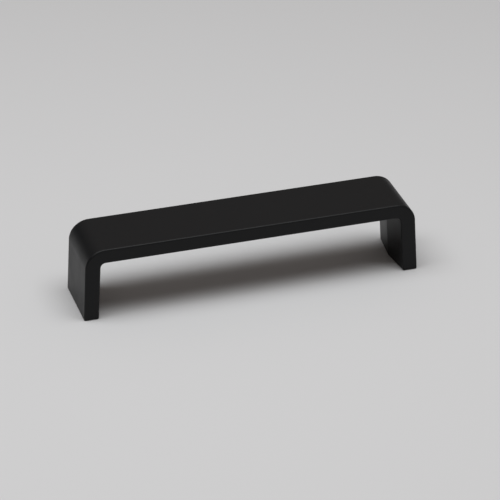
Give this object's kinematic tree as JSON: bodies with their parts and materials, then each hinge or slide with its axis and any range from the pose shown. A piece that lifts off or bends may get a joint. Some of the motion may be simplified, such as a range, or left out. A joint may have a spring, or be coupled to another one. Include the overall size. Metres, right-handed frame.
{
  "type": "d pull handle",
  "caption": "D-shaped cabinet pull with a flat bar, round bends, splayed legs and a tapped hole in each foot.",
  "frame": {"origin": "midway between the two fixing screws, on the face that the handle is fixed to", "axes": "+X along the bar, +Y across it, +Z away from the fixing face, towards the bar"},
  "size_m": [0.136, 0.0272, 0.0297],
  "materials": {
    "coat": "matt powder coat on a zinc casting"
  },
  "bodies": {
    "root": {"pull_handle": "coat"}
  },
  "joints": []
}
